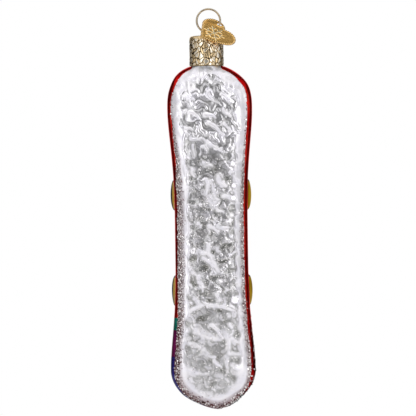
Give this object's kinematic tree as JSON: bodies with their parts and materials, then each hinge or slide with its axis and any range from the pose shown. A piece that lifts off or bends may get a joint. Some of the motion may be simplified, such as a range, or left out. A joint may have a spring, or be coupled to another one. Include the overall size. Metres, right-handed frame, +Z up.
{
  "type": "snowboard ornament",
  "caption": "Blown-glass hanging ornament shaped as a snowboard with moulded bindings, a hammered silver back, a gold metal cap, a spring-wire ring and a heart-shaped tag.",
  "frame": {"origin": "the hanging point, inside the top of the hanger ring", "axes": "+Z up along the board toward the ring, +Y out of the board's front where the bindings are, so the hammered back faces -Y, +X to the right seen from the back"},
  "size_m": [0.028, 0.0164, 0.1323],
  "materials": {
    "silvered_glass": "silvered blown glass, frosted hammered back, red lacquered front",
    "cap_gold": "embossed gold-lacquered sheet",
    "wire_gold": "bright drawn wire",
    "tag_gold": "stamped bright sheet"
  },
  "bodies": {
    "glass": {"glass_board": "silvered_glass"},
    "cap": {"cap": "cap_gold"},
    "hanger": {"hanger_wire": "wire_gold"},
    "tag": {"heart_tag": "tag_gold"}
  },
  "joints": [
    {"name": "cap_turn", "type": "hinge", "parent": "glass", "child": "cap", "pos_m": [-0.0008, 0, -0.0135], "axis": [0, 0, 1], "continuous": true},
    {"name": "hanger_pull", "type": "slide", "parent": "cap", "child": "hanger", "axis": [0, 0, 1], "range_m": [0, 0.018]},
    {"name": "tag_swing", "type": "hinge", "parent": "hanger", "child": "tag", "pos_m": [0.00362, 0, -0.00494], "axis": [0.3584, 0, 0.9336], "range_deg": [-25, 185]}
  ]
}
